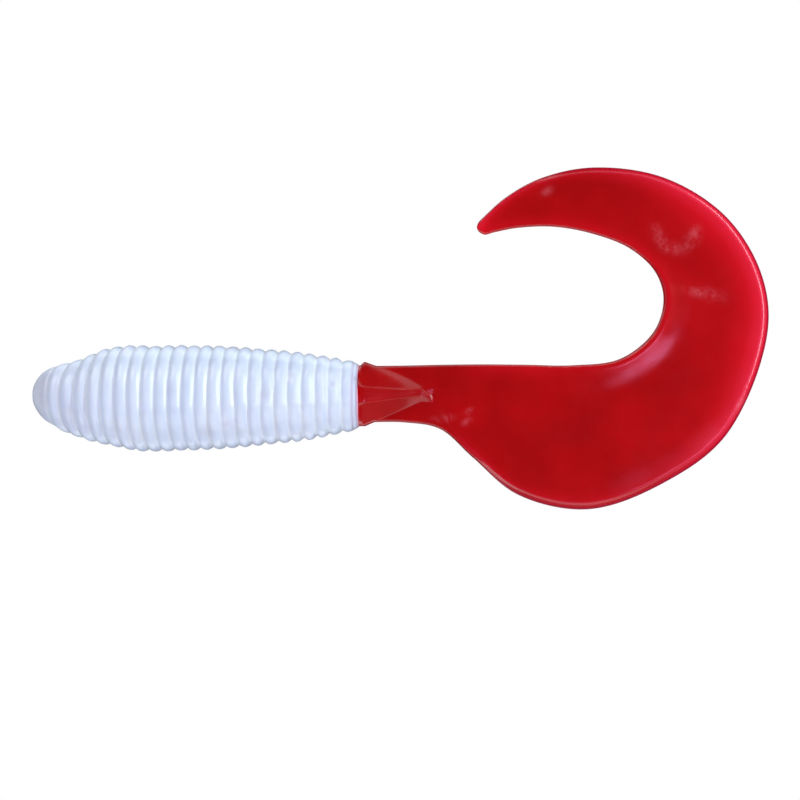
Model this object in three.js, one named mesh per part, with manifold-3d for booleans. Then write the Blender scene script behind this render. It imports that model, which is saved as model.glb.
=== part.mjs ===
// Curly-tail grub, a soft plastic fishing lure: a ribbed round body, moulded together with
// a flat sickle-shaped tail that swings and ripples in the water.
//
// Millimetres, +Z up. The origin is the centre of the small flat face on the nose.
// +X runs to the tail, and Y is the direction of the tail's thickness, so the curl lies in the XZ plane.
//
// The plastic bends anywhere. Here it is divided at its flex lines: grooves between ribs on the body,
// and straight lines across the blade. Each division is one rigid link with a hinge line in its gap.

import * as THREE from "three";
import { mergeVertices } from "three/addons/utils/BufferGeometryUtils.js";
import Module from "manifold-3d";

const wasm = await Module();
wasm.setup();

// ---- Driving dimensions: body ----

const NOSE_FACE_RADIUS = 1.3;
const NOSE_LENGTH = 3.55;
const RIB_PITCH = 1.8;
const RIB_COUNT = 23;
const RIB_HEIGHT = 0.36;
const LAST_GROOVE = NOSE_LENGTH + RIB_COUNT * RIB_PITCH;
const BODY_END = LAST_GROOVE + 0.45;
const BODY_END_RADIUS = 4.2;

// Distance from the nose and radius over the rib crests, at a few places along the body.
const CREST_OUTLINE = [
  [3.55, 4.45],
  [6.3, 5.4],
  [9.8, 6.65],
  [13.3, 7.25],
  [17.3, 7.4],
  [24.3, 7.25],
  [29.3, 6.95],
  [34.8, 6.4],
  [39.8, 5.8],
  [45.4, 4.65],
];

// Grooves, counted from the nose, where the body bends, and how far each one bends either way.
const BODY_FLEX_GROOVES = [4, 9, 14, 19];
const BODY_FLEX_DEGREES = 11;
const BODY_FLEX_GAP = 0.3;
const BODY_SECTION_NAMES = [
  "nose_section",
  "front_section",
  "middle_section",
  "rear_section",
  "end_section",
];

// ---- Driving dimensions: tail ----

const COLOUR_JOINT_GAP = 0.3;
const COLLAR_LENGTH = 0.5;

// Half of the stock's section at its base and at its tip, top to bottom, as Y and Z. The first and
// last corners lie just inside the blade's faces, and the other half mirrors these.
const STOCK_BASE = [
  [0.95, 4.96],
  [4.05, 1.45],
  [4.1, -0.7],
  [0.95, -3.98],
];
const STOCK_TIP_X = 55.0;
const STOCK_TIP = [
  [0.9, 1.3],
  [1.2, 0.6],
  [1.2, 0.2],
  [0.9, -0.35],
];

// Straight lines across the blade, in order from the stock to the tip: X and Z of the line's end on
// the inner edge, which is the mouth side of the curl, then X and Z of its end on the outer edge.
const BLADE_STATIONS = [
  [46.6, 4.38, 46.6, -3.4],
  [51.8, 4.44, 51.8, -3.45],
  [56.6, 4.54, 56.6, -4.35],
  [62.2, 4.6, 61.1, -8.27],
  [68.2, 4.55, 67.4, -13.45],
  [75.0, 4.47, 77.0, -15.42],
  [81.45, 5.36, 87.2, -11.87],
  [86.05, 9.1, 96.0, -5.1],
  [87.4, 13.6, 101.58, 8.7],
  [86.24, 17.36, 100.78, 17.02],
  [82.7, 20.6, 95.92, 24.92],
  [77.5, 22.65, 87.63, 30.25],
  [72.2, 23.6, 78.0, 31.78],
  [67.3, 23.45, 70.7, 30.38],
  [64.1, 22.85, 65.85, 27.8],
  [62.75, 22.53, 62.8, 25.15],
  [61.95, 22.98, 61.85, 24.15],
  [61.68, 23.45, 61.68, 23.65],
];

// Stations where the blade bends. The first is the root of the tail, just behind the stock's tip.
const BLADE_FLEX_STATIONS = [2, 4, 6, 8, 10, 12];
const TAIL_ROOT_GAP = 1.0;
const BLADE_GAP = 0.55;
const BLADE_ROOT_THICKNESS = 2.0;
const BLADE_MIDDLE_THICKNESS = 1.6;
const BLADE_TIP_THICKNESS = 1.0;
const BLADE_STEPS_PER_STATION = 3;

// Across the blade from the inner edge to the outer: share of the width, and share of the thickness.
const BLADE_SECTION = [
  [0.0, 0.5],
  [0.04, 0.95],
  [0.12, 1.0],
  [0.9, 1.0],
  [1.0, 0.4],
];

const TURN_STEPS = 28;

// ---- Materials ----

const whitePlastic = new THREE.MeshStandardMaterial({
  name: "white_plastic",
  color: new THREE.Color(0.66, 0.74, 0.9),
  roughness: 0.35,
  metalness: 0,
});

const redPlastic = new THREE.MeshStandardMaterial({
  name: "red_plastic",
  color: new THREE.Color(0.37, 0.006, 0.009),
  roughness: 0.3,
  metalness: 0,
});

// ---- Shared helpers ----

function toSolid(geometry) {
  const bare = new THREE.BufferGeometry();
  bare.setAttribute("position", geometry.getAttribute("position"));
  bare.setIndex(geometry.getIndex());
  const merged = mergeVertices(bare, 1e-4);
  const mesh = new wasm.Mesh({
    numProp: 3,
    vertProperties: new Float32Array(merged.getAttribute("position").array),
    triVerts: new Uint32Array(merged.getIndex().array),
  });
  return new wasm.Manifold(mesh);
}

function toGeometry(solid) {
  const mesh = solid.getMesh();
  const geometry = new THREE.BufferGeometry();
  geometry.setAttribute("position", new THREE.BufferAttribute(mesh.vertProperties, 3));
  geometry.setIndex(new THREE.BufferAttribute(mesh.triVerts, 1));
  return geometry;
}

// A closed skin over a row of sections. Each section is a convex ring of points, all of one length.
function loft(sections) {
  const ringLength = sections[0].length;
  const last = (sections.length - 1) * ringLength;
  const index = [];
  for (let s = 0; s < last; s += ringLength) {
    for (let i = 0; i < ringLength; i++) {
      const next = (i + 1) % ringLength;
      index.push(s + i, s + next, s + ringLength + next);
      index.push(s + i, s + ringLength + next, s + ringLength + i);
    }
  }
  for (let i = 1; i < ringLength - 1; i++) {
    index.push(0, i + 1, i);
    index.push(last, last + i, last + i + 1);
  }
  const geometry = new THREE.BufferGeometry().setFromPoints(sections.flat());
  geometry.setIndex(index);
  return geometry;
}

function namedMesh(name, geometry, material) {
  geometry.computeVertexNormals();
  const mesh = new THREE.Mesh(geometry, material);
  mesh.name = name;
  return mesh;
}

// ---- Body sections ----

const crestCurve = new THREE.CatmullRomCurve3(
  CREST_OUTLINE.map(([x, radius]) => new THREE.Vector3(x, radius, 0)),
);
const crestPoints = crestCurve.getPoints(100);

function crestRadius(x) {
  const after = Math.max(1, crestPoints.findIndex((point) => point.x >= x));
  const a = crestPoints[after - 1];
  const b = crestPoints[after];
  return THREE.MathUtils.mapLinear(x, a.x, b.x, a.y, b.y);
}

function grooveX(groove) {
  return NOSE_LENGTH + groove * RIB_PITCH;
}

// Each rib is a flat-topped bead whose sides dip by the rib height at the grooves.
function ribRadius(groove, share) {
  const x = grooveX(groove + share);
  const rise = Math.sqrt(Math.sin(Math.PI * share));
  return crestRadius(x) - RIB_HEIGHT * (1 - rise);
}

function nosePoints() {
  const arc = new THREE.QuadraticBezierCurve(
    new THREE.Vector2(NOSE_FACE_RADIUS, 0),
    new THREE.Vector2(3.6, 0.9),
    new THREE.Vector2(ribRadius(0, 0), NOSE_LENGTH),
  );
  return arc.getPoints(6).slice(0, -1);
}

// Rib outline from one groove to another, as radius and distance from the nose.
function ribPoints(from, to) {
  const points = [];
  for (let groove = from; groove < to; groove++) {
    for (const share of [0, 0.2, 0.5, 0.8]) {
      points.push(new THREE.Vector2(ribRadius(groove, share), grooveX(groove + share)));
    }
  }
  points.push(new THREE.Vector2(ribRadius(to - 1, 0.999), grooveX(to)));
  return points;
}

// The faces at a flex groove are shallow cones, so that the sections tilt without touching.
function bodySection(index) {
  const isFirst = index === 0;
  const isLast = index === BODY_FLEX_GROOVES.length;
  const from = isFirst ? 0 : BODY_FLEX_GROOVES[index - 1];
  const to = isLast ? RIB_COUNT : BODY_FLEX_GROOVES[index];
  const slope = Math.tan(THREE.MathUtils.degToRad(BODY_FLEX_DEGREES / 2));
  const front = isFirst ? 0 : grooveX(from) + BODY_FLEX_GAP / 2;
  const back = isLast ? BODY_END : grooveX(to) - BODY_FLEX_GAP / 2;
  const outline = ribPoints(from, to);
  if (isFirst) {
    outline.unshift(...nosePoints());
  }
  if (isLast) {
    outline.push(new THREE.Vector2(BODY_END_RADIUS, BODY_END));
  }
  const kept = outline.filter(({ x: radius, y: x }) => {
    const clearOfFront = isFirst || x - front > radius * slope;
    const clearOfBack = isLast || back - x > radius * slope;
    return clearOfFront && clearOfBack;
  });
  if (!isFirst) {
    kept.unshift(new THREE.Vector2(kept[0].x, front + kept[0].x * slope));
  }
  if (!isLast) {
    const rim = kept[kept.length - 1];
    kept.push(new THREE.Vector2(rim.x, back - rim.x * slope));
  }
  const profile = [new THREE.Vector2(0, front), ...kept, new THREE.Vector2(0, back)];
  const geometry = new THREE.LatheGeometry(profile, TURN_STEPS);
  geometry.rotateZ(-Math.PI / 2);
  return namedMesh(BODY_SECTION_NAMES[index], toGeometry(toSolid(geometry)), whitePlastic);
}

// ---- Tail blade ----

const innerEdge = new THREE.CatmullRomCurve3(
  BLADE_STATIONS.map(([x, z]) => new THREE.Vector3(x, 0, z)),
);
const outerEdge = new THREE.CatmullRomCurve3(
  BLADE_STATIONS.map(([, , x, z]) => new THREE.Vector3(x, 0, z)),
);
const LAST_STATION = BLADE_STATIONS.length - 1;

function bladeThickness(station) {
  const half = LAST_STATION / 2;
  if (station < half) {
    return THREE.MathUtils.lerp(BLADE_ROOT_THICKNESS, BLADE_MIDDLE_THICKNESS, station / half);
  }
  return THREE.MathUtils.lerp(BLADE_MIDDLE_THICKNESS, BLADE_TIP_THICKNESS, station / half - 1);
}

// How far, in stations, an edge runs before it is half a gap clear of the flex line.
function stationShift(edge, station, gap) {
  const step = 0.01;
  const inner = innerEdge.getPoint(station / LAST_STATION);
  const line = outerEdge.getPoint(station / LAST_STATION).sub(inner);
  const clear = new THREE.Vector3(-line.z, 0, line.x).normalize();
  const ahead = edge.getPoint((station + step) / LAST_STATION);
  const behind = edge.getPoint((station - step) / LAST_STATION);
  return (gap * step) / ahead.sub(behind).dot(clear);
}

// One ring round the blade. The inner and outer ends may be at slightly different stations,
// so that the gap at a flex line has parallel sides.
function bladeRing(innerStation, outerStation) {
  const inner = innerEdge.getPoint(innerStation / LAST_STATION);
  const outer = outerEdge.getPoint(outerStation / LAST_STATION);
  const halfThickness = bladeThickness((innerStation + outerStation) / 2) / 2;
  const side = (sign) =>
    BLADE_SECTION.map(([across, share]) => {
      const point = inner.clone().lerp(outer, across);
      point.y = sign * share * halfThickness;
      return point;
    });
  return [...side(-1), ...side(1).reverse()];
}

function bladeLink(from, to, frontGap, backGap) {
  const ends = [innerEdge, outerEdge].map((edge) => ({
    start: frontGap ? from + stationShift(edge, from, frontGap) : from,
    end: backGap ? to - stationShift(edge, to, backGap) : to,
  }));
  const steps = Math.ceil((to - from) * BLADE_STEPS_PER_STATION);
  const rings = [];
  for (let i = 0; i <= steps; i++) {
    const [inner, outer] = ends.map(({ start, end }) => THREE.MathUtils.lerp(start, end, i / steps));
    rings.push(bladeRing(inner, outer));
  }
  return loft(rings);
}

function bladeLinks() {
  return BLADE_FLEX_STATIONS.map((from, index) => {
    const isTip = index === BLADE_FLEX_STATIONS.length - 1;
    const to = isTip ? LAST_STATION : BLADE_FLEX_STATIONS[index + 1];
    const frontGap = index === 0 ? TAIL_ROOT_GAP : BLADE_GAP;
    const link = bladeLink(from, to, frontGap, isTip ? 0 : BLADE_GAP);
    return namedMesh("blade_link_" + (index + 1), link, redPlastic);
  });
}

// ---- Tail stock ----

function stockRing(x, halfSection, scale = 1) {
  const near = halfSection.map(([y, z]) => new THREE.Vector3(x, -y * scale, z * scale));
  const far = halfSection.map(([y, z]) => new THREE.Vector3(x, y * scale, z * scale));
  return [...near, ...far.reverse()];
}

// A six-sided cone on a short flared collar, with the first stretch of the flat blade through it.
// The collar starts with its top and bottom corners level with the body's round end.
function tailStock() {
  const front = BODY_END + COLOUR_JOINT_GAP;
  const base = front + COLLAR_LENGTH;
  const collarScale = BODY_END_RADIUS / STOCK_BASE[0][1];
  const cone = loft([
    stockRing(front, STOCK_BASE, collarScale),
    stockRing(base, STOCK_BASE),
    stockRing(STOCK_TIP_X, STOCK_TIP),
  ]);
  const plate = bladeLink(0, BLADE_FLEX_STATIONS[0], 0, TAIL_ROOT_GAP);
  const joined = toSolid(cone).add(toSolid(plate));
  return namedMesh("tail_stock", toGeometry(joined), redPlastic);
}

// ---- Assembly ----

const grub = new THREE.Group();
grub.add(...BODY_SECTION_NAMES.map((name, index) => bodySection(index)));
grub.add(tailStock());
grub.add(...bladeLinks());

export default grub;
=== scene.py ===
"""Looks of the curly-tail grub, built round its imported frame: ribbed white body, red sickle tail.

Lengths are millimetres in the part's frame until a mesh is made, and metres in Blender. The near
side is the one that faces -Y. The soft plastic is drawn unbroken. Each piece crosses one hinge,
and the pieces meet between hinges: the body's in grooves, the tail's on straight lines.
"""

import math

import bpy
import numpy as np
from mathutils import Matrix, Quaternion, Vector, noise


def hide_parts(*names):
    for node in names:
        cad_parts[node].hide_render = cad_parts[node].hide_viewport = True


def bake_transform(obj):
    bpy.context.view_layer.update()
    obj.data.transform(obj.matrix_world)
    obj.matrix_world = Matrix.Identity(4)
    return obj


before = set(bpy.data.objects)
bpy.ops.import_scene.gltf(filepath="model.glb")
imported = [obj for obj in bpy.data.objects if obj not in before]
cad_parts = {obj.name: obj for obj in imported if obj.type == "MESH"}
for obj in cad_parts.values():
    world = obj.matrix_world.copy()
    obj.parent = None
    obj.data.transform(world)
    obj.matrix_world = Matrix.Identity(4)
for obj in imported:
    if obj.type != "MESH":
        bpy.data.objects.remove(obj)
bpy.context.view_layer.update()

MM = 0.001

# ---- Body ----

NOSE_FACE_RADIUS = 1.3
NOSE_SHOULDER = (0.9, 3.6)
NOSE_LENGTH = 3.55
RIB_PITCH = 1.8
RIB_COUNT = 23
RIB_HEIGHT = 0.38
GROOVE_FILLET = 0.14
FIRST_GROOVE_SHARE = 0.45
FIRST_RIB_LEAN = 0.24
LAST_GROOVE = NOSE_LENGTH + RIB_COUNT * RIB_PITCH
CHAMFER_START = LAST_GROOVE - 0.3
CHAMFER_GROOVE_DEPTH = 0.1
BODY_END = LAST_GROOVE + 0.45
END_RADIUS = 4.2
# Distance from the nose and radius over the rib crests.
CREST_OUTLINE = [
    (3.55, 4.45),
    (6.3, 5.4),
    (9.8, 6.65),
    (13.3, 7.25),
    (17.3, 7.4),
    (24.3, 7.25),
    (29.3, 6.95),
    (34.8, 6.4),
    (39.8, 5.8),
    (45.4, 4.65),
]
# The body isn't quite straight: distance from the nose and height of its middle.
SAG_OUTLINE = [
    (0.0, 0.35),
    (2.2, 0.3),
    (6.0, -0.1),
    (11.0, 0.12),
    (17.0, -0.13),
    (25.0, 0.02),
    (36.0, 0.12),
    (45.4, 0.24),
]
# Shallow pits on the near side: distance from the nose, height, width and depth.
PITS = [
    (36.6, 2.8, 0.75, 0.16),
    (33.1, 0.2, 0.9, 0.14),
    (42.0, 1.8, 0.4, 0.12),
    (38.9, 1.6, 0.55, 0.1),
    (30.2, 3.9, 0.6, 0.1),
    (27.6, -3.4, 0.8, 0.1),
]
# Patches of painted shade on the near side, most at the nose dome and over the pits: distance from the
# nose, height, reach along and across, and strength.
PAINTED_SHADE_PATCHES = [
    (1.8, 0.6, 1.1, 2.8, 0.3),
    (4.1, 1.0, 0.5, 2.2, 0.22),
    (5.9, -1.8, 0.4, 1.6, 0.2),
    (20.2, 1.3, 0.6, 0.8, 0.14),
    (24.9, -4.6, 0.9, 0.9, 0.22),
    (27.6, -3.6, 0.8, 0.7, 0.2),
    (32.8, 0.4, 0.8, 0.9, 0.22),
    (36.4, 2.9, 0.6, 0.7, 0.16),
    (42.0, 1.8, 0.3, 0.3, 0.4),
    (45.1, 2.6, 0.25, 0.35, 0.6),
]
TURN_STEPS = 180
# Grooves, counted from the nose, where two pieces of the body meet.
BODY_CUTS = [0, 7, 12, 17, RIB_COUNT]
# The joint of the mould runs along the body at this angle from +Y towards +Z, and opposite it.
PARTING_ANGLE = math.radians(-124)
PARTING_HEIGHT = 0.035

# ---- Tail stock ----

COLLAR_START = BODY_END + 0.02
COLLAR_CENTRE_Z = 0.24
STOCK_BASE_X = 46.2
STOCK_TIP_X = 55.35
# Edges along the stock, as (x, half thickness, z), from the upper one that meets the blade, over
# its two creases, to the lower one that meets the blade.
STOCK_EDGES = [
    [(46.2, 0.95, 4.96), (49.8, 0.95, 3.67), (52.5, 0.95, 2.54), (55.35, 0.95, 1.19)],
    [(46.2, 4.05, 1.45), (54.1, 1.45, 0.85), (55.3, 1.15, 0.1)],
    [(46.2, 4.1, -0.7), (54.0, 1.4, 0.45), (55.3, 1.15, -0.1)],
    [(46.2, 0.95, -3.98), (53.9, 0.95, -0.6), (55.3, 0.95, -0.75)],
]
# The stock's ridge is cut off on a slant: x and z of a point on the cut, and the way it faces.
STOCK_END = (54.2, 0.9, 0.555, 0.83)
STOCK_END_SLOPE = 0.22
STOCK_SINK_SLOPE = 0.9
# Mesh spans from the blade's upper edge to the stock's first edge, between its edges, and on to the
# blade's lower edge.
STOCK_SPANS = [7, 14, 5, 12, 6]

# ---- Tail blade ----

# x and z of the inner and outer edges.
BLADE_STATIONS = [
    (46.6, 4.38, 46.6, -3.4),
    (51.8, 4.44, 51.8, -3.45),
    (56.6, 4.54, 56.6, -4.35),
    (62.2, 4.6, 61.1, -8.27),
    (68.2, 4.55, 67.4, -13.45),
    (75.0, 4.47, 77.0, -15.42),
    (81.45, 5.36, 87.2, -11.87),
    (86.05, 9.1, 96.0, -5.1),
    (87.4, 13.6, 101.58, 8.7),
    (86.24, 17.36, 100.78, 17.02),
    (82.7, 20.6, 95.92, 24.92),
    (77.5, 22.65, 87.63, 30.25),
    (72.2, 23.6, 78.0, 31.78),
    (67.3, 23.45, 70.7, 30.38),
    (64.1, 22.85, 65.85, 27.8),
    (62.75, 22.53, 62.8, 25.15),
    (61.95, 22.98, 61.85, 24.15),
    (61.68, 23.45, 61.68, 23.65),
]
LAST_STATION = len(BLADE_STATIONS) - 1
# Stations where two pieces of the tail meet.
BLADE_CUTS = [0, 3, 5, 7, 9, 11, LAST_STATION]
BLADE_HALF_THICKNESS = [(0, 1.0), (8, 0.8), (LAST_STATION, 0.5)]
EDGE_RADIUS = 0.36
# A bead runs along the inner edge at the bend and falls away in a wide hollow fillet.
INNER_BEAD_HEIGHT = 0.5
INNER_BEAD_WIDTH = 0.85
INNER_FILLET_WIDTH = 3.4
INNER_FILLET_HOLLOW = 1.6
# Towards the outer edge the blade thins a little, and then has a bevel: the shares of its thickness lost.
OUTER_TAPER = 0.1
OUTER_TAPER_WIDTH = 4.0
OUTER_BEVEL = 0.6
OUTER_BEVEL_WIDTH = 1.0
# Pale marks on the near face, some worn into it and some painted highlights where its waves catch the
# light: x, z, turn in degrees, reach along and across, and strength.
BLADE_SCUFFS_AND_HIGHLIGHTS = [
    (60.3, -3.3, 20, 0.7, 0.25, 0.26),
    (60.5, -1.9, 30, 0.6, 0.25, 0.28),
    (56.9, -2.8, 5, 1.3, 0.3, 0.18),
    (93.0, 14.3, -12, 2.2, 0.7, 0.2),
    (71.3, 28.4, 30, 0.8, 0.5, 0.15),
    (97.6, -1.2, 60, 1.6, 0.35, 0.2),
]
# A cup-shaped painted highlight: x, z, radius, reach across and strength.
BLADE_CUP_HIGHLIGHT = (89.0, 23.2, 2.6, 0.8, 0.16)
WAVE_HEIGHT = 0.12
TONE_NAMES = ["thin_light", "rim_highlight", "brink_shade"]
EDGE_STEPS = 9
ROWS_PER_STATION = 22


def smooth_step(low, high, value):
    t = np.clip((value - low) / (high - low), 0, 1)
    return t * t * (3 - 2 * t)


def bell(value, centre, width):
    return np.exp(-(((value - centre) / width) ** 2))


def smooth_max(a, b, softness):
    return 0.5 * (a + b + np.sqrt((a - b) ** 2 + softness**2))


# ---- Camera ----

CAMERA_TARGET = (51.05, 0.0, -0.33)
CAMERA_AZIMUTH = 2.2
CAMERA_DISTANCE = 250.0


def add_camera():
    """Square on to the curl, a little from the tail's side, from close by."""
    target = Vector(CAMERA_TARGET) * MM
    azimuth = math.radians(CAMERA_AZIMUTH)
    back = Vector((math.sin(azimuth), -math.cos(azimuth), 0.0))
    data = bpy.data.cameras.new("camera")
    data.sensor_width = 36.0
    data.lens = 81.2
    data.clip_start = 0.01
    camera = bpy.data.objects.new("camera", data)
    camera.location = target + back * CAMERA_DISTANCE * MM
    camera.rotation_euler = (-back).to_track_quat("-Z", "Y").to_euler()
    bpy.context.scene.collection.objects.link(camera)
    bpy.context.scene.camera = camera


# ---- Curves and meshes ----


def centripetal(points, parameter):
    """A centripetal Catmull-Rom curve through the points, with one unit of parameter for each span."""
    p = np.array(points, float)
    p = np.vstack([2 * p[0] - p[1], p, 2 * p[-1] - p[-2]])
    t = np.atleast_1d(np.asarray(parameter, float))
    span = np.clip(np.floor(t).astype(int), 0, len(points) - 2)
    f = (t - span)[:, None]
    p0, p1, p2, p3 = p[span], p[span + 1], p[span + 2], p[span + 3]
    d0 = np.linalg.norm(p1 - p0, axis=1)[:, None] ** 0.5
    d1 = np.linalg.norm(p2 - p1, axis=1)[:, None] ** 0.5
    d2 = np.linalg.norm(p3 - p2, axis=1)[:, None] ** 0.5
    t1 = ((p1 - p0) / d0 - (p2 - p0) / (d0 + d1) + (p2 - p1) / d1) * d1
    t2 = ((p2 - p1) / d1 - (p3 - p1) / (d1 + d2) + (p3 - p2) / d2) * d1
    a = 2 * p1 - 2 * p2 + t1 + t2
    b = -3 * p1 + 3 * p2 - 2 * t1 - t2
    return p1 + t1 * f + b * f**2 + a * f**3


def skin_faces(rings, around):
    """Quads of a skin of closed rings, each with the same number of points."""
    faces = []
    for ring in range(rings - 1):
        for i in range(around):
            j = (i + 1) % around
            a, b = ring * around, (ring + 1) * around
            faces.append((a + i, a + j, b + j, b + i))
    return faces


def fan_faces(first, around, centre, flip):
    faces = []
    for i in range(around):
        j = (i + 1) % around
        face = (centre, first + j, first + i)
        faces.append(face[::-1] if flip else face)
    return faces


def new_piece(name, points, faces, material, values):
    """A mesh object from points in millimetres, with its place at rest and other values on each point."""
    points = np.asarray(points, float)
    mesh = bpy.data.meshes.new(name)
    mesh.from_pydata((points * MM).tolist(), [], faces)
    rest = mesh.attributes.new("rest_mm", "FLOAT_VECTOR", "POINT")
    rest.data.foreach_set("vector", points.astype(np.float32).ravel())
    for label, per_point in values.items():
        attribute = mesh.attributes.new(label, "FLOAT", "POINT")
        attribute.data.foreach_set("value", np.asarray(per_point, np.float32).ravel())
    mesh.polygons.foreach_set("use_smooth", [True] * len(mesh.polygons))
    mesh.materials.append(material)
    mesh.update()
    piece = bpy.data.objects.new(name, mesh)
    bpy.context.scene.collection.objects.link(piece)
    return piece


def sharpen(piece, degrees):
    piece.data.set_sharp_from_angle(angle=math.radians(degrees))


def bend_over_joint(piece):
    """Bakes the piece's placement into its mesh."""
    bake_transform(piece)


# ---- Materials ----


def node_material(name):
    material = bpy.data.materials.new(name)
    material.use_nodes = True
    tree = material.node_tree
    return material, tree, tree.nodes["Principled BSDF"]


def add_node(tree, kind, **settings):
    node = tree.nodes.new(kind)
    for key, value in settings.items():
        setattr(node, key, value)
    return node


def attribute(tree, label, output="Fac"):
    return add_node(tree, "ShaderNodeAttribute", attribute_name=label).outputs[output]


def noise_texture(tree, vector, scale, detail=3.0, roughness=0.5):
    node = add_node(tree, "ShaderNodeTexNoise")
    node.inputs["Scale"].default_value = scale
    node.inputs["Detail"].default_value = detail
    node.inputs["Roughness"].default_value = roughness
    tree.links.new(vector, node.inputs["Vector"])
    return node.outputs["Fac"]


def ranged(tree, value, from_low, from_high, to_low, to_high):
    node = add_node(tree, "ShaderNodeMapRange")
    node.inputs["From Min"].default_value = from_low
    node.inputs["From Max"].default_value = from_high
    node.inputs["To Min"].default_value = to_low
    node.inputs["To Max"].default_value = to_high
    tree.links.new(value, node.inputs["Value"])
    return node.outputs["Result"]


def mix_colour(tree, factor, a, b):
    node = add_node(tree, "ShaderNodeMix", data_type="RGBA")
    for socket, colour in ((node.inputs[6], a), (node.inputs[7], b)):
        if isinstance(colour, tuple):
            socket.default_value = (*colour, 1.0)
        else:
            tree.links.new(colour, socket)
    tree.links.new(factor, node.inputs[0])
    return node.outputs[2]


def bump(tree, height, strength, distance_mm):
    node = add_node(tree, "ShaderNodeBump")
    node.inputs["Strength"].default_value = strength
    node.inputs["Distance"].default_value = distance_mm * MM
    tree.links.new(height, node.inputs["Height"])
    return node.outputs["Normal"]


def white_plastic():
    """Milky soft plastic with a cool cast: painted light makes the grooves paler, lifting their shade,
    and faint patches of painted shade darken it.
    """
    material, tree, shader = node_material("white_plastic_skin")
    rest = attribute(tree, "rest_mm", "Vector")
    cloud = ranged(tree, noise_texture(tree, rest, 0.16, 2.0), 0.35, 0.65, 0.0, 1.0)
    colour = mix_colour(tree, cloud, (0.63, 0.735, 0.9), (0.675, 0.77, 0.915))
    # Painted light: the grooves are mixed towards a paler colour, which lifts their shade.
    groove = ranged(tree, attribute(tree, "groove"), 0.4, 1.0, 0.0, 0.5)
    colour = mix_colour(tree, groove, colour, (0.82, 0.9, 0.97))
    mottle = noise_texture(tree, rest, 0.45, 5.0, 0.6)
    colour = mix_colour(tree, ranged(tree, mottle, 0.55, 0.75, 0.0, 0.35), colour, (0.56, 0.6, 0.78))
    # Painted shade: darker grey-lilac patches at the nose and by the pits.
    colour = mix_colour(tree, attribute(tree, "painted_shade"), colour, (0.42, 0.38, 0.46))
    chamfer_shade_and_red = attribute(tree, "chamfer_shade_and_red")
    # Painted shade: a dark lavender band over the fine groove and the chamfer, then pink where red has
    # crept into the white at the end.
    colour = mix_colour(tree, ranged(tree, chamfer_shade_and_red, 0.0, 0.5, 0.0, 1.0), colour, (0.5, 0.45, 0.6))
    colour = mix_colour(tree, ranged(tree, chamfer_shade_and_red, 0.7, 1.0, 0.0, 1.0), colour, (0.85, 0.42, 0.58))
    tree.links.new(colour, shader.inputs["Base Color"])
    skin = noise_texture(tree, rest, 1.1, 3.0)
    tree.links.new(ranged(tree, skin, 0.3, 0.7, 0.17, 0.27), shader.inputs["Roughness"])
    fine = noise_texture(tree, rest, 4.0, 3.0)
    tree.links.new(bump(tree, fine, 0.2, 0.03), shader.inputs["Normal"])
    shader.inputs["IOR"].default_value = 1.47
    shader.inputs["Subsurface Weight"].default_value = 0.3
    shader.inputs["Subsurface Radius"].default_value = (1.0, 0.95, 1.2)
    shader.inputs["Subsurface Scale"].default_value = 0.5 * MM
    return material


def red_plastic():
    """Deep glossy red, crimson with painted light where the plastic is at its thinnest and light would
    shine through, a pink painted highlight line inside the outer edge, purple painted shade at the very
    edge, and a wavy skin.
    """
    material, tree, shader = node_material("red_plastic_skin")
    rest = attribute(tree, "rest_mm", "Vector")
    cloud = noise_texture(tree, rest, 0.12, 3.0)
    cloud = ranged(tree, cloud, 0.35, 0.65, 0.0, 1.0)
    colour = mix_colour(tree, cloud, (0.32, 0.002, 0.003), (0.405, 0.0025, 0.004))
    # Painted light: crimson where light would shine through the plastic at its thinnest parts.
    colour = mix_colour(tree, attribute(tree, "thin_light"), colour, (0.62, 0.005, 0.014))
    # Painted highlight: a pink line just inside the outer edge.
    colour = mix_colour(tree, attribute(tree, "rim_highlight"), colour, (1.0, 0.06, 0.15))
    # Painted shade: dark purple at the very edge.
    colour = mix_colour(tree, attribute(tree, "brink_shade"), colour, (0.3, 0.004, 0.04))
    # Pale marks: partly worn into the face, partly painted highlights where its waves catch the light,
    # broken up by noise.
    mark_breakup = noise_texture(tree, rest, 0.8, 5.0, 0.7)
    broken = add_node(tree, "ShaderNodeMath", operation="MULTIPLY")
    tree.links.new(attribute(tree, "scuff_and_highlight"), broken.inputs[0])
    tree.links.new(ranged(tree, mark_breakup, 0.4, 0.6, 0.2, 1.3), broken.inputs[1])
    colour = mix_colour(tree, broken.outputs[0], colour, (0.75, 0.22, 0.28))
    tree.links.new(colour, shader.inputs["Base Color"])
    skin = noise_texture(tree, rest, 0.7, 3.0)
    tree.links.new(ranged(tree, skin, 0.3, 0.7, 0.16, 0.22), shader.inputs["Roughness"])
    fine = noise_texture(tree, rest, 2.2, 2.0)
    tree.links.new(bump(tree, fine, 0.08, 0.02), shader.inputs["Normal"])
    shader.inputs["IOR"].default_value = 1.45
    return material


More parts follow.
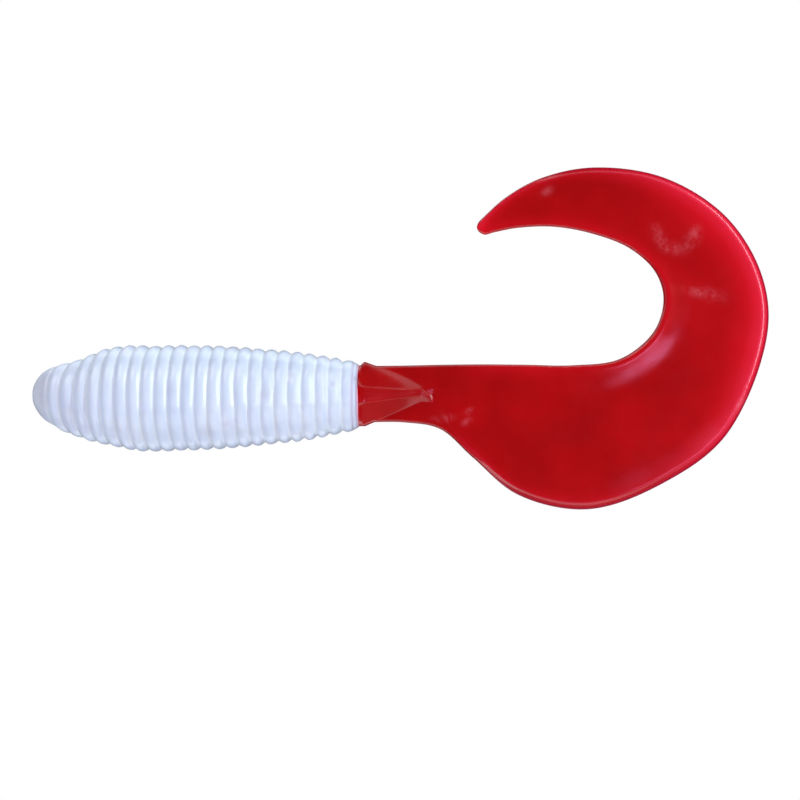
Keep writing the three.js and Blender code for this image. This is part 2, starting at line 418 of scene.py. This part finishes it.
def floor_material():
    """Plain white to the camera, and a dim pale table to everything that it lights."""
    material, tree, shader = node_material("pale_floor")
    position = add_node(tree, "ShaderNodeTexCoord").outputs["Object"]
    cloud = ranged(tree, noise_texture(tree, position, 6.0, 2.0), 0.3, 0.7, 0.0, 1.0)
    colour = mix_colour(tree, cloud, (0.45, 0.45, 0.45), (0.48, 0.48, 0.48))
    tree.links.new(colour, shader.inputs["Base Color"])
    shader.inputs["Roughness"].default_value = 0.9
    glow = add_node(tree, "ShaderNodeEmission")
    glow.inputs["Strength"].default_value = 1.0
    seen = add_node(tree, "ShaderNodeLightPath").outputs["Is Camera Ray"]
    mixer = add_node(tree, "ShaderNodeMixShader")
    tree.links.new(seen, mixer.inputs[0])
    tree.links.new(shader.outputs[0], mixer.inputs[1])
    tree.links.new(glow.outputs[0], mixer.inputs[2])
    tree.links.new(mixer.outputs[0], tree.nodes["Material Output"].inputs["Surface"])
    return material


# ---- Body ----


def crest_radius(x):
    samples = centripetal(CREST_OUTLINE, np.linspace(0, len(CREST_OUTLINE) - 1, 200))
    return np.interp(x, samples[:, 0], samples[:, 1])


def sag(x):
    samples = centripetal(SAG_OUTLINE, np.linspace(0, len(SAG_OUTLINE) - 1, 200))
    return np.interp(x, samples[:, 0], samples[:, 1])


def rib_bead(share):
    """Height of a rib above its grooves: an arc, with the corner in each groove a little filled."""
    half = RIB_PITCH / 2
    radius = (half**2 + RIB_HEIGHT**2) / (2 * RIB_HEIGHT)
    from_groove = half - np.abs(share - 0.5) * RIB_PITCH
    filled = np.sqrt(from_groove**2 + GROOVE_FILLET**2) - GROOVE_FILLET
    crest = np.sqrt(half**2 + GROOVE_FILLET**2) - GROOVE_FILLET
    from_crest = half * (1 - filled / crest)
    return np.sqrt(radius**2 - from_crest**2) - (radius - RIB_HEIGHT)


def groove_share(x):
    """How deep the grooves are cut, as a share of the rest: the first two are only just there."""
    return FIRST_GROOVE_SHARE + (1 - FIRST_GROOVE_SHARE) * smooth_step(3.0, 8.5, x)


def forward_lean(x):
    """How far the rings lean towards the nose on the near side, for each millimetre of y."""
    return FIRST_RIB_LEAN * smooth_step(0.3, 3.5, x) * np.exp(-np.maximum(x - 4.5, 0) / 5.0)


def rib_outline(from_groove, to_groove, samples=14):
    """Distance from the nose and height above the groove floor, along the ribs between two grooves."""
    spread = (1 - np.cos(np.pi * np.arange(samples) / samples)) / 2
    share = np.append(np.tile(spread, to_groove - from_groove), 0.0)
    rib = np.append(np.repeat(np.arange(from_groove, to_groove), samples), to_groove)
    return NOSE_LENGTH + (rib + share) * RIB_PITCH, rib_bead(share)


def nose_outline(samples=26):
    """Distance and radius of the nose dome, from a small flat face to the first groove."""
    t = np.linspace(0, 1, samples, endpoint=False)
    last = crest_radius(NOSE_LENGTH) - RIB_HEIGHT * groove_share(NOSE_LENGTH)
    x = 2 * t * (1 - t) * NOSE_SHOULDER[0] + t**2 * NOSE_LENGTH
    radius = (1 - t) ** 2 * NOSE_FACE_RADIUS + 2 * t * (1 - t) * NOSE_SHOULDER[1] + t**2 * last
    return x, radius


def end_outline(x, height, samples=26):
    """The last rib runs out over a chamfer, after a fine groove, down to where the red plastic starts."""
    fine = np.linspace(CHAMFER_START - 0.4, BODY_END, samples)
    height = np.append(height[x < fine[0]], np.zeros(samples))
    x = np.append(x[x < fine[0]], fine)
    slope = (crest_radius(CHAMFER_START) - END_RADIUS) / (BODY_END - CHAMFER_START)
    chamfer = END_RADIUS + (BODY_END - x) * slope
    crest = crest_radius(x)
    run_out = -smooth_max(-crest, -chamfer, 0.12)
    run_out -= CHAMFER_GROOVE_DEPTH * bell(x, CHAMFER_START, 0.13)
    late = x > LAST_GROOVE - RIB_PITCH / 2
    return x, np.where(late, run_out - (crest - RIB_HEIGHT), height)


def turn_angles():
    """Angles round the body, measured from +Y towards +Z, closer together at the two parting lines."""
    even = np.arange(TURN_STEPS) * 2 * np.pi / TURN_STEPS
    near_line = np.arange(-4, 5) * 0.012
    lines = [PARTING_ANGLE + near_line, PARTING_ANGLE + np.pi + near_line]
    return np.unique(np.round(np.mod(np.concatenate([even, *lines]), 2 * np.pi), 6))


def unevenness(place, bead):
    """How far the poured skin swells and leans at a point, more on the ribs than in the grooves."""
    swell = noise.noise(place * 0.16) * 0.1
    swell += noise.noise(Vector((place.x * 0.55, place.y * 0.2, place.z * 0.2))) * 0.07 * bead
    lumpy = 0.5 + 0.8 * smooth_step(21.0, 27.0, place.x)
    swell += noise.noise(place * 0.42 + Vector((5.0, 9.0, 1.0))) * 0.05 * lumpy * bead
    lean = noise.noise(place * 0.3 + Vector((17.0, 3.0, 8.0))) * 0.12 * lumpy
    if place.y < 0:
        for x, z, width, depth in PITS:
            swell -= depth * math.exp(-((place.x - x) ** 2 + (place.z - z) ** 2) / width**2)
    return swell, lean


# Painted shade: how much each point on the near side is darkened by the patches.
def painted_shade_patches(points):
    marks = np.zeros(len(points))
    for x, z, along, across, strength in PAINTED_SHADE_PATCHES:
        marks += bell(points[:, 0], x, along) * bell(points[:, 2], z, across) * strength
    return np.clip(marks, 0, 1) * (points[:, 1] < 0)


def chamfer_shade_and_red_creep(x):
    """Painted shade and creeping red at the end of the body: a little at the start of the chamfer, where
    a dark band paints the shade of its fine groove, more towards its end, where the dark shade gives way
    to the red that has crept into the white.
    """
    creep = 0.35 * bell(x, CHAMFER_START, 0.2) + smooth_step(CHAMFER_START + 0.3, BODY_END, x)
    return np.clip(creep, 0, 1)


def turned_points(x, radius, bead):
    """The turned skin, with a hand-poured unevenness and the fine ridge left at the mould's joint."""
    angles = turn_angles()
    ridge = bell(np.sin(angles - PARTING_ANGLE), 0, 0.018) * PARTING_HEIGHT
    points = np.empty((len(x), len(angles), 3))
    for i, (along, r) in enumerate(zip(x, radius)):
        fade = min(1.0, r / 4.0) * min(1.0, along / 2.0)
        leaning = forward_lean(along)
        for j, angle in enumerate(angles):
            c, s = math.cos(angle), math.sin(angle)
            swell, lean = unevenness(Vector((along, c * r, s * r)), bead[i])
            out = r + (swell + ridge[j]) * fade
            points[i, j] = (along + lean * fade + out * c * leaning, out * c, out * s)
    points[:, :, 2] += sag(points[:, :, 0])
    return points


def body_piece(index, name, material):
    """One stretch of the white body between two cuts, closed by a flat face at each end."""
    x, height = rib_outline(BODY_CUTS[index], BODY_CUTS[index + 1])
    if index == len(BODY_CUTS) - 2:
        x, height = end_outline(x, height)
    radius = crest_radius(x) - (RIB_HEIGHT - height) * groove_share(x)
    if index == 0:
        nose = nose_outline()
        x = np.append(nose[0], x)
        radius = np.append(nose[1], radius)
        height = np.append(RIB_HEIGHT * (1 - smooth_step(2.6, NOSE_LENGTH, nose[0])), height)
    bead = np.clip(height / RIB_HEIGHT, 0, 1)
    points = turned_points(x, radius, bead)
    rings, around = points.shape[:2]
    skin = points.reshape(-1, 3)
    faces = skin_faces(rings, around)
    faces += fan_faces(0, around, len(skin), False)
    faces += fan_faces(len(skin) - around, around, len(skin) + 1, True)
    skin = np.vstack([skin, points[0].mean(0), points[-1].mean(0)])
    # Painted light: this groove value makes the grooves paler in the material, lifting their shade.
    groove = np.append(np.repeat(1 - bead, around), [0.0, 0.0])
    groove *= 1 - smooth_step(LAST_GROOVE - 0.5, LAST_GROOVE, skin[:, 0])
    values = {"groove": groove, "chamfer_shade_and_red": chamfer_shade_and_red_creep(skin[:, 0]), "painted_shade": painted_shade_patches(skin)}
    piece = new_piece(name, skin, faces, material, values)
    sharpen(piece, 60)
    return piece


def add_body(material):
    names = ["body_nose", "body_belly", "body_back", "body_taper"]
    nodes = [["nose_section", "front_section"], ["middle_section"], ["rear_section"], ["end_section"]]
    for index, name in enumerate(names):
        piece = body_piece(index, name, material)
        bend_over_joint(piece)
        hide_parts(*nodes[index])


# ---- Tail blade ----


def blade_edges(station):
    inner = centripetal([s[:2] for s in BLADE_STATIONS], station)
    outer = centripetal([s[2:] for s in BLADE_STATIONS], station)
    return inner, outer


def edge_radius(width):
    return np.minimum(EDGE_RADIUS, width * 0.4)


def distances_across(width):
    """Distances from the inner edge of the mesh points across the blade, closest at both edges."""
    edge = edge_radius(width)
    turn = 1 - np.cos(np.linspace(0, np.pi / 2, EDGE_STEPS))[None, :]
    even = np.linspace(0, 1, sum(STOCK_SPANS) + 1)[None, 1:-1]
    share = 0.4 * even + 0.6 * (1 - np.cos(np.pi * even)) / 2
    middle = edge + (width - 2 * edge) * share
    return np.hstack([edge * turn, middle, width - edge * turn[:, ::-1]])


def blade_relief(station, distance, width):
    """Half of the blade's thickness at each point, before its edges are rounded."""
    s = station[:, None]
    half = np.interp(station, *zip(*BLADE_HALF_THICKNESS))[:, None]
    to_outer = width - distance
    at_bend = smooth_step(4.0, 5.6, s) * (1 - smooth_step(8.2, 10.0, s))
    down_fillet = np.clip((distance - INNER_BEAD_WIDTH) / INNER_FILLET_WIDTH, 0, 1)
    fillet = INNER_BEAD_HEIGHT * (1 - down_fillet) ** INNER_FILLET_HOLLOW
    tapered = smooth_step(3.0, 6.0, s)
    taper = OUTER_TAPER * (1 - smooth_step(0.0, OUTER_TAPER_WIDTH, to_outer))
    bevelled = smooth_step(2.6, 4.0, s) * (1 - smooth_step(12.0, 14.0, s))
    bevel = OUTER_BEVEL * (1 - smooth_step(0.0, OUTER_BEVEL_WIDTH, to_outer))
    return half * (1 - tapered * taper - bevelled * bevel) + at_bend * fillet


def blade_waves(x, z):
    """How far the blade leans out of its plane, as cast plastic does."""
    wave = np.vectorize(lambda u, v: noise.noise(Vector((u * 0.14, 0.0, v * 0.14))))
    return wave(x, z) * WAVE_HEIGHT * smooth_step(55.0, 62.0, x)


def blade_tones(station, to_inner, to_outer):
    """Painted light and shade along the edges: a wide soft band of painted light where light would shine
    through the plastic, a pink painted highlight line and dark painted shade at the very edge.

    All three are strongest round the bend, which runs between the middle stations.
    """
    s = station[:, None]
    bend = smooth_step(5.5, 8.0, s) * (1 - smooth_step(10.0, 12.2, s))
    outer_band = (1 - smooth_step(0.0, 3.0 + 4.0 * bend, to_outer)) * (0.4 + 0.5 * bend)
    inner_band = (1 - smooth_step(0.0, 2.6, to_inner)) * 0.4
    root = smooth_step(2.0, 3.4, s)
    tip = smooth_step(13.0, 16.0, s) * 0.6
    # Painted light where light would shine through the plastic near its edges, round the bend and at the
    # tip.
    thin_light = np.clip((outer_band + inner_band + 0.12 * bend) * root + tip, 0, 1)
    # Painted highlight: a pink line about 0.8 mm inside the outer edge, with a faint band inside it round
    # the bend.
    rim_highlight = bell(to_outer, 0.8, 0.3) * (0.1 + 0.25 * bend) * root
    rim_highlight += smooth_step(0.1, 0.7, to_outer) * (1 - smooth_step(0.7, 3.4, to_outer)) * 0.14 * bend
    # Painted shade: a dark line within 0.4 mm of the outer edge.
    brink_shade = (1 - smooth_step(0.1, 0.4, to_outer)) * root * 0.8
    return thin_light, np.clip(rim_highlight, 0, 1), brink_shade


def scuffs_and_highlights(points):
    """Pale marks on the near face: some worn into it, some painted highlights where its waves catch the
    light.
    """
    x, z = points[:, 0], points[:, 2]
    marks = np.zeros(len(points))
    for centre_x, centre_z, turn, along, across, strength in BLADE_SCUFFS_AND_HIGHLIGHTS:
        c, s = math.cos(math.radians(turn)), math.sin(math.radians(turn))
        u = (x - centre_x) * c + (z - centre_z) * s
        v = (z - centre_z) * c - (x - centre_x) * s
        marks += bell(u, 0, along) * bell(v, 0, across) * strength
    centre_x, centre_z, radius, across, strength = BLADE_CUP_HIGHLIGHT
    from_centre = np.hypot(x - centre_x, z - centre_z)
    below = smooth_step(-0.6, 0.4, (centre_z - z) / radius)
    marks += bell(from_centre, radius, across) * below * strength
    return np.clip(marks, 0, 1) * (points[:, 1] < 0)


def ring_of(near, far):
    """Rings round the blade, down the near face and back up the far face."""
    return np.concatenate([near, far[:, -2:0:-1]], axis=1)


def blade_rings(station, distance, width, half, inner, outer):
    """Rings of points round the blade, and its tones at each of them."""
    share = (distance / width)[:, :, None]
    flat = inner[:, None, :] * (1 - share) + outer[:, None, :] * share
    nearest = np.minimum(distance, width - distance)
    rounding = np.clip(1 - nearest / edge_radius(width), 0, 1)
    half = half * np.sqrt(1 - rounding**2)
    x, z = flat[:, :, 0], flat[:, :, 1]
    wave = blade_waves(x, z)
    rings = ring_of(np.dstack([x, wave - half, z]), np.dstack([x, wave + half, z]))
    tones = blade_tones(station, distance, width - distance)
    return rings, [ring_of(tone, tone) for tone in tones]


def blade_end_faces(first, around, flip):
    """A flat strip of quads across one end of a stretch of the blade."""
    faces = []
    across = around // 2
    for i in range(across):
        corners = dict.fromkeys([i, i + 1, (around - i - 1) % around, (around - i) % around])
        face = tuple(first + corner for corner in corners)
        faces.append(face if flip else face[::-1])
    return faces


def blade_piece(from_station, to_station, name, material):
    """A stretch of the blade, with flat ends where it meets its neighbours."""
    rows = int((to_station - from_station) * ROWS_PER_STATION) + 1
    station = np.linspace(from_station, to_station, rows)
    inner, outer = blade_edges(station)
    width = np.linalg.norm(outer - inner, axis=1)[:, None]
    distance = distances_across(width)
    half = blade_relief(station, distance, width)
    rings, tones = blade_rings(station, distance, width, half, inner, outer)
    around = rings.shape[1]
    faces = skin_faces(rows, around)
    faces += blade_end_faces(0, around, False)
    faces += blade_end_faces((rows - 1) * around, around, True)
    points = rings.reshape(-1, 3)
    values = dict(zip(TONE_NAMES, tones), scuff_and_highlight=scuffs_and_highlights(points))
    piece = new_piece(name, points, faces, material, values)
    sharpen(piece, 60)
    return piece


# ---- Tail root: collar, stock and the start of the blade in one skin ----


def stock_edge_heights(x):
    """z and half thickness of the stock's edges at x. Past the tip they sink into the blade."""
    edge_z = []
    edge_half = []
    for edge in STOCK_EDGES:
        along, half, z = zip(*edge)
        edge_z.append(np.interp(x, along, z))
        edge_half.append(np.interp(x, along, half))
    sunk = max(0.0, x - STOCK_TIP_X) * STOCK_SINK_SLOPE
    return np.array(edge_z), np.array(edge_half) - sunk


def stock_half_thickness(x, z):
    """Half thickness of the faceted stock at each z of one row. Its upper creases are filleted.

    Beyond its two edges the stock's faces run on at 45 degrees, down into the blade.
    """
    edge_z, edge_half = stock_edge_heights(x)
    run = 6.0
    full_z = np.concatenate([[edge_z[0] + run], edge_z, [edge_z[-1] - run]])[::-1]
    full_half = np.concatenate([[edge_half[0] - run], edge_half, [edge_half[-1] - run]])[::-1]
    fillet = 0.03 + 0.17 * smooth_step(0.3, 0.7, (z - edge_z[3]) / (edge_z[2] - edge_z[3]))
    shifts = np.linspace(-1, 1, 9)[:, None] * fillet
    half = np.interp(z + shifts, full_z, full_half).mean(axis=0)
    cut_x, cut_z, facing_x, facing_z = STOCK_END
    past_end = (x - cut_x) * facing_x + (z - cut_z) * facing_z
    return half - STOCK_END_SLOPE * smooth_max(past_end, 0.0, 0.25)


def stock_distances(x, top, width):
    """Distances from the blade's upper edge of mesh points that follow the edges of the stock."""
    edge = float(edge_radius(width))
    edge_z = stock_edge_heights(x)[0]
    knots = np.concatenate([[edge], np.clip(top - edge_z, edge, width - edge), [width - edge]])
    knots = np.maximum.accumulate(knots + np.arange(len(knots)) * 1e-4)
    points = []
    for start, end, count in zip(knots[:-1], knots[1:], STOCK_SPANS):
        spread = (1 - np.cos(np.pi * np.arange(count) / count)) / 2
        points.extend(start + (end - start) * spread)
    turn = edge * (1 - np.cos(np.linspace(0, np.pi / 2, EDGE_STEPS)))
    return np.concatenate([turn, points[1:], width - turn[::-1]])


def root_rows():
    """Stations of the rows of mesh along the stock and on to the first cut of the blade."""
    fine = np.linspace(-0.2, BLADE_CUTS[1], 600)
    fine_x = blade_edges(fine)[0][:, 0]
    x = np.concatenate([
        np.arange(STOCK_BASE_X, 53.0, 0.25),
        np.arange(53.0, 57.0, 0.12),
        np.linspace(57.0, BLADE_STATIONS[BLADE_CUTS[1]][0], 20),
    ])
    return np.interp(x, fine_x, fine)


def collar_rings(base, count=14):
    """Rings that turn the first section of the stock into the round end of the body."""
    centre = np.array([0.0, COLLAR_CENTRE_Z])
    offset = base[:, 1:] - centre
    circle = offset / np.linalg.norm(offset, axis=1)[:, None] * END_RADIUS
    rings = []
    for t in np.linspace(0, 1, count, endpoint=False):
        x = COLLAR_START + (STOCK_BASE_X - COLLAR_START) * t
        turned = smooth_step(0.0, 1.0, t)
        section = centre + circle * (1 - turned) + offset * turned
        rings.append(np.column_stack([np.full(len(section), x), section]))
    return np.array(rings)


def root_piece(name, material):
    station = root_rows()
    inner, outer = blade_edges(station)
    rows_x = inner[:, 0]
    for row, x in enumerate(rows_x):
        edge_z = stock_edge_heights(x)[0]
        inner[row, 1] = max(inner[row, 1], edge_z[0])
        outer[row, 1] = min(outer[row, 1], edge_z[-1])
    width = np.linalg.norm(outer - inner, axis=1)[:, None]
    even = distances_across(width)
    following = [stock_distances(x, top, w) for x, top, w in zip(rows_x, inner[:, 1], width[:, 0])]
    evened = smooth_step(56.5, 61.5, rows_x)[:, None]
    distance = np.array(following) * (1 - evened) + even * evened
    half = blade_relief(station, distance, width)
    for row, x in enumerate(rows_x):
        z = inner[row, 1] - distance[row]
        softness = 0.03 + 0.5 * smooth_step(0.3, 1.4, z)
        half[row] = smooth_max(half[row], stock_half_thickness(x, z), softness)
    rings, tones = blade_rings(station, distance, width, half, inner, outer)
    collar = collar_rings(rings[0])
    rings = np.concatenate([collar, rings])
    blank = np.zeros(collar.shape[:2])
    tones = [np.append(np.concatenate([blank, tone]), 0.0) for tone in tones]
    rows, around = rings.shape[:2]
    skin = rings.reshape(-1, 3)
    faces = skin_faces(rows, around)
    faces += fan_faces(0, around, len(skin), False)
    faces += blade_end_faces((rows - 1) * around, around, True)
    skin = np.vstack([skin, rings[0].mean(0)])
    values = dict(zip(TONE_NAMES, tones), scuff_and_highlight=scuffs_and_highlights(skin))
    piece = new_piece(name, skin, faces, material, values)
    sharpen(piece, 60)
    return piece


def add_tail(material):
    nodes = [["tail_stock", "blade_link_1"]] + [[f"blade_link_{i}"] for i in range(2, 7)]
    names = ["tail_root", "tail_wrist", "tail_heel", "tail_bend", "tail_crown", "tail_tip"]
    for index, name in enumerate(names):
        if index == 0:
            piece = root_piece(name, material)
        else:
            piece = blade_piece(BLADE_CUTS[index], BLADE_CUTS[index + 1], name, material)
        bend_over_joint(piece)
        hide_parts(*nodes[index])


# ---- Studio ----

# In millimetres, what the lights face.
LURE_CENTRE = (50.0, 0.0, 5.0)


def add_floor():
    """A wide floor, in metres, well below the lure."""
    half = 3.0
    depth = -0.6
    corners = [(-half, -half, depth), (half, -half, depth), (half, half, depth), (-half, half, depth)]
    mesh = bpy.data.meshes.new("floor")
    mesh.from_pydata(corners, [], [(0, 1, 2, 3)])
    mesh.materials.append(floor_material())
    floor = bpy.data.objects.new("floor", mesh)
    bpy.context.scene.collection.objects.link(floor)


def add_softbox(name, azimuth, elevation, distance, size, power, colour, turn=0):
    """An area light that faces the lure from a distance in metres, with its width and height in metres.

    Azimuth 0 is the camera's side and 90 the tail's. The turn spins the box about the way it faces.
    """
    a, e = math.radians(azimuth), math.radians(elevation)
    back = Vector((math.sin(a) * math.cos(e), -math.cos(a) * math.cos(e), math.sin(e)))
    data = bpy.data.lights.new(name, "AREA")
    data.shape = "RECTANGLE"
    data.size, data.size_y = size
    data.energy = power
    data.color = colour
    light = bpy.data.objects.new(name, data)
    light.location = Vector(LURE_CENTRE) * MM + back * distance
    turned = Quaternion((0.0, 0.0, 1.0), math.radians(turn))
    light.rotation_euler = ((-back).to_track_quat("-Z", "Y") @ turned).to_euler()
    bpy.context.scene.collection.objects.link(light)


def add_world():
    """White to the camera, and a dim grey room to the lure."""
    world = bpy.data.worlds.new("studio")
    bpy.context.scene.world = world
    world.use_nodes = True
    tree = world.node_tree
    tree.nodes.clear()
    white = add_node(tree, "ShaderNodeBackground")
    white.inputs["Color"].default_value = (1.0, 1.0, 1.0, 1.0)
    white.inputs["Strength"].default_value = 1.0
    room = add_node(tree, "ShaderNodeBackground")
    room.inputs["Color"].default_value = (0.8, 0.85, 1.0, 1.0)
    room.inputs["Strength"].default_value = 0.036
    seen = add_node(tree, "ShaderNodeLightPath").outputs["Is Camera Ray"]
    mixer = add_node(tree, "ShaderNodeMixShader")
    output = add_node(tree, "ShaderNodeOutputWorld")
    tree.links.new(seen, mixer.inputs[0])
    tree.links.new(room.outputs[0], mixer.inputs[1])
    tree.links.new(white.outputs[0], mixer.inputs[2])
    tree.links.new(mixer.outputs[0], output.inputs["Surface"])


def add_studio():
    """Soft lights from all round. The low card draws the pink crescent on the bend of the tail."""
    add_world()
    add_floor()
    cyan = (0.9, 0.98, 1.0)
    lilac = (0.98, 0.94, 1.0)
    cool = (0.94, 0.97, 1.0)
    pink = (1.0, 0.4, 0.8)
    add_softbox("right_strip", 56, 16, 0.42, (0.1, 0.5), 1.75, cyan)
    add_softbox("upper_left_box", -50, 50, 0.5, (0.3, 0.3), 1.15, lilac)
    add_softbox("lower_left_box", -50, -45, 0.5, (0.3, 0.3), 0.8, lilac)
    add_softbox("far_left_box", -110, 0, 0.5, (0.4, 0.5), 0.4, lilac)
    add_softbox("top_box", 0, 58, 0.5, (0.5, 0.2), 0.45, cool)
    add_softbox("roof_box", 0, 122, 0.5, (0.6, 0.2), 0.7, cool)
    add_softbox("low_box", 0, -54, 0.5, (0.6, 0.35), 1.1, cool)
    add_softbox("under_box", 0, -122, 0.5, (0.6, 0.2), 0.6, cool)
    add_softbox("low_card", 23.5, -12.5, 0.5, (0.12, 0.09), 0.24, pink, 28)
    add_softbox("back_left_box", 215, 30, 0.7, (0.5, 0.5), 0.4, cool)
    add_softbox("back_right_box", 145, 30, 0.7, (0.5, 0.5), 0.3, cool)
    bpy.context.scene.view_settings.view_transform = "Standard"


add_camera()
add_body(white_plastic())
add_tail(red_plastic())
add_studio()
